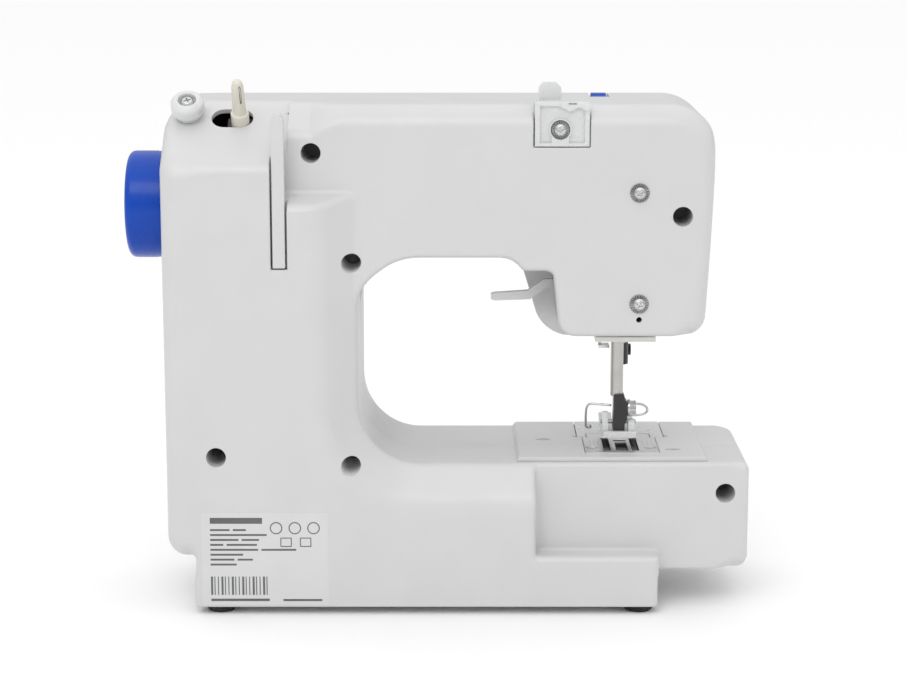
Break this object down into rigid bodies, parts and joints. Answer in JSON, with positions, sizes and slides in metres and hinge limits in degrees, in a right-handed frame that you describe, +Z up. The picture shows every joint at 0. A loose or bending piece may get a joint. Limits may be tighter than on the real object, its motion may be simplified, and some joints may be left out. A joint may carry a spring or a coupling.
{
  "type": "sewing machine",
  "caption": "Compact free-arm sewing machine with side handwheel, rear spool pin, top bobbin winder, presser foot and slide-out bobbin cover.",
  "frame": {"origin": "under the middle of the machine's bounding box, on the surface that the rubber feet stand on", "axes": "+X along the arm towards the handwheel, +Y to the machine's rear, +Z up"},
  "size_m": [0.2878, 0.1062, 0.2471],
  "materials": {
    "cover_white": "satin moulded ABS, off-white",
    "trim_white": "matt moulded plastic, translucent white",
    "blue_plastic": "glossy royal blue moulded plastic",
    "ivory_nylon": "matt ivory nylon",
    "bright_steel": "polished nickel-plated steel",
    "grey_steel": "ground steel, satin",
    "black_metal": "blackened metal, satin",
    "black_plastic": "matt black plastic",
    "black_rubber": "moulded rubber",
    "bush_brass": "sintered bronze",
    "cast_frame": "as-cast aluminium alloy",
    "board_green": "solder-masked circuit board",
    "lamp_lens": "diffusing lens",
    "clear_plastic": "clear moulded plastic",
    "label_paper": "satin printed sticker"
  },
  "bodies": {
    "machine": {"rear_cover": "cover_white", "front_cover": "cover_white", "base_plate": "trim_white", "rubber_feet": "black_rubber", "cover_screws": "bright_steel", "pan_screws": "bright_steel", "chassis": "cast_frame", "shaft_bushes": "bush_brass", "bed_panel": "cover_white", "needle_plate": "bright_steel", "plate_screws": "bright_steel", "bobbin_case": "black_plastic", "head_bottom_plate": "cover_white", "needle_thread_guide": "bright_steel", "thread_guide_bracket": "trim_white", "winder_stopper": "trim_white", "motor": "bright_steel", "drive_belt": "black_rubber", "timing_belt": "black_rubber", "circuit_board": "board_green", "dc_jack": "black_plastic", "pedal_jack": "black_plastic", "lamp": "lamp_lens", "rating_label": "label_paper", "presser_spring": "bright_steel", "tension_post": "bright_steel"},
    "handwheel_shaft": {"handwheel": "blue_plastic", "upper_shaft": "bright_steel", "upper_timing_pulley": "black_plastic", "crank": "grey_steel"},
    "hook_shaft": {"lower_shaft": "bright_steel", "lower_timing_pulley": "black_plastic", "hook_drive_gear": "ivory_nylon"},
    "hook": {"rotary_hook": "grey_steel"},
    "bobbin": {"bobbin": "clear_plastic"},
    "motor_pulley": {"motor_pulley": "trim_white"},
    "needle_bar": {"needle_bar": "grey_steel", "needle_clamp": "bright_steel", "needle": "bright_steel"},
    "needle_clamp_screw": {"needle_clamp_screw": "black_metal"},
    "connecting_rod": {"connecting_rod": "grey_steel"},
    "take_up_lever": {"take_up_lever": "bright_steel"},
    "presser_bar": {"presser_bar": "grey_steel", "foot_holder": "black_metal", "finger_guard": "bright_steel"},
    "foot_screw": {"foot_screw": "bright_steel"},
    "presser_foot": {"presser_foot": "trim_white"},
    "lifter_lever": {"lifter_lever": "cover_white"},
    "spool_pin": {"spool_pin": "cover_white"},
    "winder_arm": {"winder_arm": "black_plastic"},
    "winder_spindle": {"winder_spindle": "ivory_nylon", "winder_wheel": "black_rubber"},
    "tension_dial": {"tension_dial": "blue_plastic"},
    "pattern_dial": {"pattern_dial": "blue_plastic"},
    "reverse_lever": {"reverse_lever": "blue_plastic"},
    "bobbin_cover": {"bobbin_cover": "clear_plastic"},
    "feed_bar": {"feed_bar": "grey_steel"},
    "feed_dogs": {"feed_dogs": "grey_steel"},
    "power_switch": {"power_switch": "black_plastic"},
    "light_button": {"light_button": "blue_plastic"}
  },
  "joints": [
    {"name": "handwheel_turn", "type": "hinge", "parent": "machine", "child": "handwheel_shaft", "pos_m": [0.13, 0.005, 0.185], "axis": [1, 0, 0], "continuous": true},
    {"name": "hook_shaft_turn", "type": "hinge", "parent": "machine", "child": "hook_shaft", "pos_m": [0.1, 0.005, 0.032], "axis": [1, 0, 0], "continuous": true},
    {"name": "hook_turn", "type": "hinge", "parent": "machine", "child": "hook", "pos_m": [-0.086, -0.0145, 0.045], "axis": [0, 0, 1], "continuous": true},
    {"name": "motor_turn", "type": "hinge", "parent": "machine", "child": "motor_pulley", "pos_m": [0.115, -0.015, 0.095], "axis": [1, 0, 0], "continuous": true},
    {"name": "bobbin_turn", "type": "hinge", "parent": "machine", "child": "bobbin", "pos_m": [-0.086, -0.0145, 0.052], "axis": [0, 0, 1], "continuous": true},
    {"name": "needle_bar_slide", "type": "slide", "parent": "machine", "child": "needle_bar", "axis": [0, 0, 1], "range_m": [-0.026, 0]},
    {"name": "take_up_swing", "type": "hinge", "parent": "machine", "child": "take_up_lever", "pos_m": [-0.0963, 0.008, 0.196], "axis": [1, 0, 0], "range_deg": [0, 45]},
    {"name": "rod_swing", "type": "hinge", "parent": "needle_bar", "child": "connecting_rod", "pos_m": [-0.0768, 0.005, 0.17], "axis": [1, 0, 0], "range_deg": [-27, 27]},
    {"name": "clamp_screw_turn", "type": "hinge", "parent": "needle_bar", "child": "needle_clamp_screw", "pos_m": [-0.0895, -0.001, 0.1145], "axis": [1, 0, 0], "range_deg": [-180, 180]},
    {"name": "lifter_swing", "type": "hinge", "parent": "machine", "child": "lifter_lever", "pos_m": [-0.066, 0.017, 0.15], "axis": [0, 1, 0], "range_deg": [0, 35]},
    {"name": "presser_bar_slide", "type": "slide", "parent": "machine", "child": "presser_bar", "axis": [0, 0, 1], "range_m": [-0.0042, 0]},
    {"name": "foot_screw_turn", "type": "hinge", "parent": "presser_bar", "child": "foot_screw", "pos_m": [-0.092, 0.015, 0.0896], "axis": [1, 0, 0], "range_deg": [-180, 180]},
    {"name": "foot_tilt", "type": "hinge", "parent": "presser_bar", "child": "presser_foot", "pos_m": [-0.085, 0.015, 0.083], "axis": [1, 0, 0], "range_deg": [-4, 4]},
    {"name": "spool_pin_slide", "type": "slide", "parent": "machine", "child": "spool_pin", "axis": [0, 0, 1], "range_m": [0, 0.034]},
    {"name": "winder_shift", "type": "slide", "parent": "machine", "child": "winder_arm", "axis": [1, 0, 0], "range_m": [0, 0.0072]},
    {"name": "winder_turn", "type": "hinge", "parent": "winder_arm", "child": "winder_spindle", "pos_m": [0.0898, 0.0285, 0.22611], "axis": [0, 0.6007, 0.7995], "continuous": true},
    {"name": "tension_turn", "type": "hinge", "parent": "machine", "child": "tension_dial", "pos_m": [-0.0755, -0.02, 0.2206], "axis": [1, 0, 0], "range_deg": [-150, 150]},
    {"name": "pattern_turn", "type": "hinge", "parent": "machine", "child": "pattern_dial", "pos_m": [0.084, -0.045, 0.15], "axis": [0, 1, 0], "continuous": true},
    {"name": "reverse_press", "type": "slide", "parent": "machine", "child": "reverse_lever", "axis": [0, 0, -1], "range_m": [0, 0.009], "stiffness_N_per_m": 250, "springref_m": -0.002},
    {"name": "bobbin_cover_slide", "type": "slide", "parent": "machine", "child": "bobbin_cover", "axis": [0, -1, 0], "range_m": [0, 0.034]},
    {"name": "feed_lift", "type": "slide", "parent": "machine", "child": "feed_bar", "axis": [0, 0, 1], "range_m": [0, 0.0009]},
    {"name": "feed_travel", "type": "slide", "parent": "feed_bar", "child": "feed_dogs", "axis": [0, 1, 0], "range_m": [-0.0012, 0.0012]},
    {"name": "power_switch_slide", "type": "slide", "parent": "machine", "child": "power_switch", "axis": [1, 0, 0], "range_m": [0, 0.0082]},
    {"name": "light_press", "type": "slide", "parent": "machine", "child": "light_button", "axis": [0, 1, 0], "range_m": [0, 0.002], "stiffness_N_per_m": 300, "springref_m": -0.001}
  ],
  "couplings": [
    {"joint": "hook_shaft_turn", "follows": "handwheel_turn", "ratio": 1},
    {"joint": "hook_turn", "follows": "handwheel_turn", "ratio": 2},
    {"joint": "motor_turn", "follows": "handwheel_turn", "ratio": 3.3333},
    {"joint": "take_up_swing", "follows": "needle_bar_slide", "rad_per_m": -30.208},
    {"joint": "lifter_swing", "follows": "presser_bar_slide", "rad_per_m": -145.44}
  ]
}
